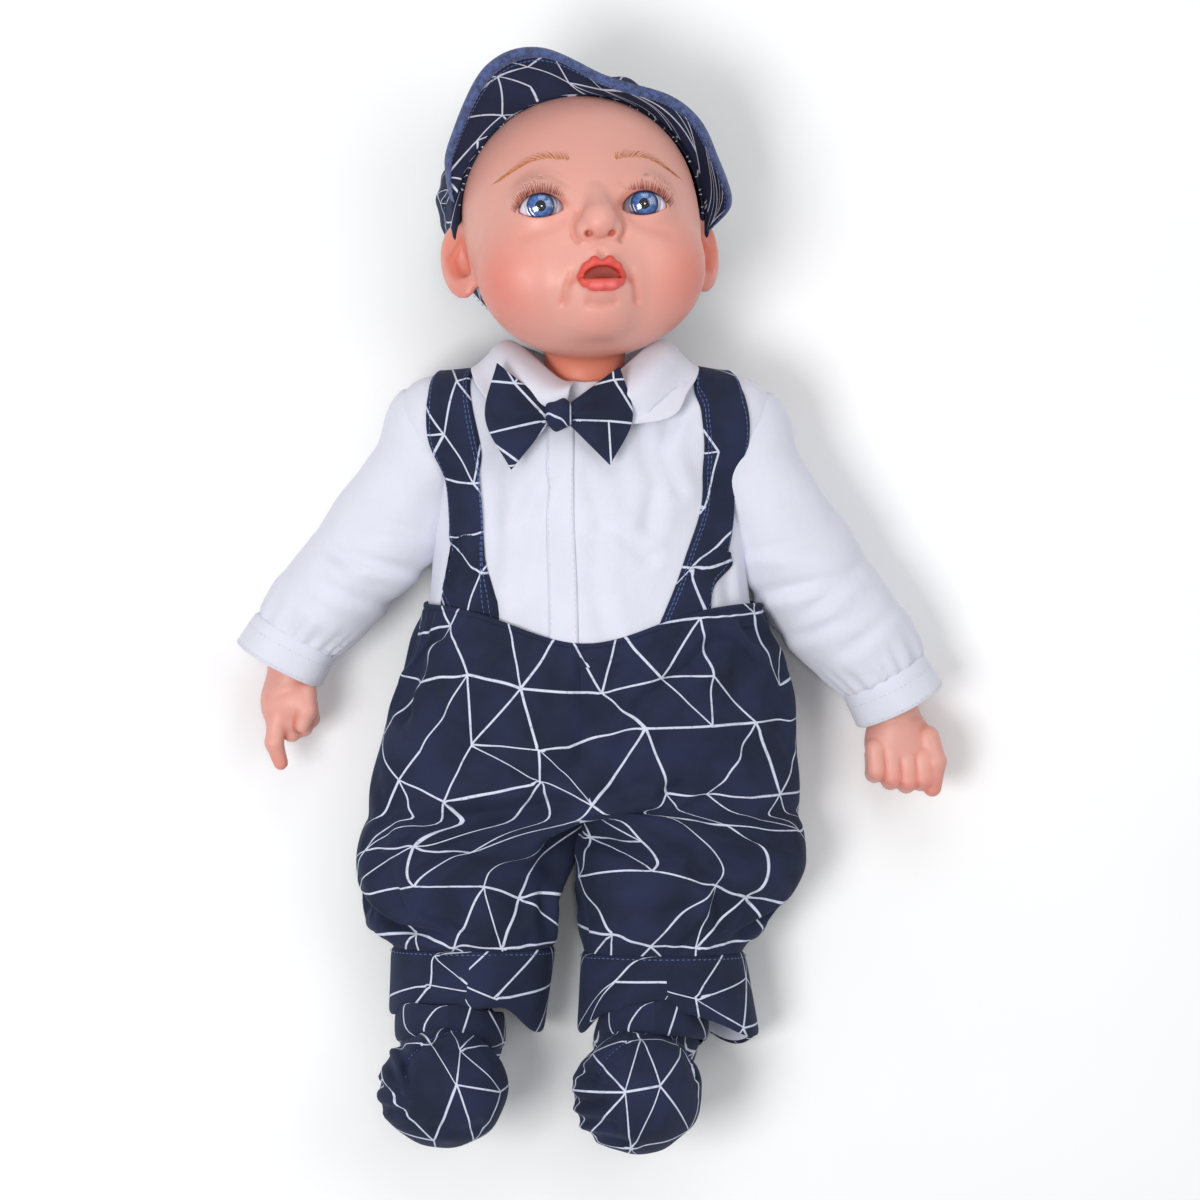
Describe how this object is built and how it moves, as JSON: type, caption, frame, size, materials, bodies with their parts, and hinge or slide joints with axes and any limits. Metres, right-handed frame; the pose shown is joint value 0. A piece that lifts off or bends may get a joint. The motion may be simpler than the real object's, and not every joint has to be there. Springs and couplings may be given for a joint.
{
  "type": "interactive baby doll",
  "caption": "Soft-bodied talking baby doll lying on its back, with vinyl head and limbs, dressed in a cap, shirt, bow tie, trousers with braces, and booties.",
  "frame": {"origin": "on the floor under the doll's waist, on the flat of the trouser seat", "axes": "+Z the doll's front, up as it lies on its back; +Y towards its head; +X towards its left side"},
  "size_m": [0.2945, 0.4557, 0.1249],
  "materials": {
    "vinyl_skin": "soft rotocast vinyl, matte, blushed cheeks",
    "cloth_skin": "skin-coloured cotton body cloth",
    "stuffing": "polyester fibre filling",
    "shirt_cloth": "white woven cotton",
    "fastener_tape": "white hook-and-loop tape",
    "navy_print": "navy cotton printed with fine white broken lines",
    "eye_plastic": "glossy eyeball with printed blue iris",
    "clear_cornea": "clear moulded acrylic dome",
    "case_plastic": "off-white moulded ABS",
    "button_plastic": "red moulded button",
    "switch_plastic": "black moulded slider",
    "speaker_metal": "black pressed frame",
    "speaker_paper": "black paper cone",
    "board": "green solder mask",
    "cell_steel": "bright can",
    "contact_brass": "pressed brass",
    "screw_steel": "zinc plated",
    "dome_rubber": "translucent silicone",
    "tie_nylon": "natural nylon"
  },
  "bodies": {
    "torso": {"torso_skin": "cloth_skin", "torso_filling": "stuffing", "shirt_body": "shirt_cloth", "shirt_collar": "shirt_cloth", "shirt_placket": "shirt_cloth", "back_fastener": "fastener_tape", "bow_tie_bow": "navy_print", "bow_tie_knot": "navy_print", "left_suspender": "navy_print", "right_suspender": "navy_print", "trouser_seat": "navy_print", "trouser_waistband": "navy_print", "module_front_case": "case_plastic", "module_back_case": "case_plastic", "speaker_frame": "speaker_metal", "speaker_cone": "speaker_paper", "circuit_board": "board", "button_cells": "cell_steel", "battery_contacts": "contact_brass", "battery_door": "case_plastic", "case_screws": "screw_steel", "button_dome": "dome_rubber"},
    "button": {"tummy_button": "button_plastic"},
    "switch": {"power_switch": "switch_plastic"},
    "neck": {"neck_casing": "cloth_skin", "neck_cable_tie": "tie_nylon"},
    "head": {"head_shell": "vinyl_skin", "left_eye": "eye_plastic", "right_eye": "eye_plastic", "left_cornea": "clear_cornea", "right_cornea": "clear_cornea", "eye_cups": "case_plastic", "cap_crown": "navy_print", "cap_band": "navy_print", "cap_bill": "navy_print"},
    "left_shoulder": {"left_arm_cap": "cloth_skin"},
    "left_arm": {"left_upper_arm": "cloth_skin", "left_sleeve": "shirt_cloth", "left_cuff": "shirt_cloth", "left_arm_tie": "tie_nylon"},
    "left_hand": {"left_hand": "vinyl_skin"},
    "left_leg": {"left_thigh": "cloth_skin", "left_trouser_leg": "navy_print", "left_trouser_hem": "navy_print"},
    "left_foot": {"left_lower_leg": "vinyl_skin", "left_bootie": "navy_print", "left_bootie_cuff": "navy_print"},
    "right_shoulder": {"right_arm_cap": "cloth_skin"},
    "right_arm": {"right_upper_arm": "cloth_skin", "right_sleeve": "shirt_cloth", "right_cuff": "shirt_cloth", "right_arm_tie": "tie_nylon"},
    "right_hand": {"right_hand": "vinyl_skin"},
    "right_leg": {"right_thigh": "cloth_skin", "right_trouser_leg": "navy_print", "right_trouser_hem": "navy_print"},
    "right_foot": {"right_lower_leg": "vinyl_skin", "right_bootie": "navy_print", "right_bootie_cuff": "navy_print"}
  },
  "joints": [
    {"name": "head_nod", "type": "hinge", "parent": "torso", "child": "neck", "pos_m": [0, 0.09, 0.05], "axis": [1, 0, 0], "range_deg": [-8, 5]},
    {"name": "head_turn", "type": "hinge", "parent": "neck", "child": "head", "pos_m": [0, 0.09, 0.05], "axis": [0, 1, 0], "range_deg": [-45, 45]},
    {"name": "tummy_button_press", "type": "slide", "parent": "torso", "child": "button", "axis": [0, 0, -1], "range_m": [0, 0.0015], "stiffness_N_per_m": 900, "springref_m": -0.0004, "deforming": ["button_dome"]},
    {"name": "power_switch_slide", "type": "slide", "parent": "torso", "child": "switch", "axis": [1, 0, 0], "range_m": [0, 0.003]},
    {"name": "right_arm_raise", "type": "hinge", "parent": "torso", "child": "right_shoulder", "pos_m": [-0.064, 0.08, 0.036], "axis": [-1, 0, 0], "range_deg": [0, 100]},
    {"name": "right_arm_spread", "type": "hinge", "parent": "right_shoulder", "child": "right_arm", "pos_m": [-0.064, 0.08, 0.036], "axis": [0, 0, -1], "range_deg": [0, 50]},
    {"name": "right_hand_turn", "type": "hinge", "parent": "right_arm", "child": "right_hand", "pos_m": [-0.125, -0.022, 0.024], "axis": [-0.5107, -0.8539, -0.1005], "range_deg": [-40, 40]},
    {"name": "right_leg_raise", "type": "hinge", "parent": "torso", "child": "right_leg", "pos_m": [-0.042, -0.052, 0.034], "axis": [-1, 0, 0], "range_deg": [0, 85]},
    {"name": "right_foot_turn", "type": "hinge", "parent": "right_leg", "child": "right_foot", "pos_m": [-0.057, -0.166, 0.026], "axis": [-0.1301, -0.9891, -0.0694], "range_deg": [-25, 25]},
    {"name": "left_arm_raise", "type": "hinge", "parent": "torso", "child": "left_shoulder", "pos_m": [0.066, 0.079, 0.036], "axis": [-1, 0, 0], "range_deg": [0, 100]},
    {"name": "left_arm_spread", "type": "hinge", "parent": "left_shoulder", "child": "left_arm", "pos_m": [0.066, 0.079, 0.036], "axis": [0, 0, 1], "range_deg": [0, 50]},
    {"name": "left_hand_turn", "type": "hinge", "parent": "left_arm", "child": "left_hand", "pos_m": [0.13, -0.038, 0.024], "axis": [0.478, -0.8738, -0.0896], "range_deg": [-40, 40]},
    {"name": "left_leg_raise", "type": "hinge", "parent": "torso", "child": "left_leg", "pos_m": [0.04, -0.052, 0.034], "axis": [-1, 0, 0], "range_deg": [0, 85]},
    {"name": "left_foot_turn", "type": "hinge", "parent": "left_leg", "child": "left_foot", "pos_m": [0.027, -0.166, 0.026], "axis": [-0.113, -0.9912, -0.0696], "range_deg": [-25, 25]}
  ]
}
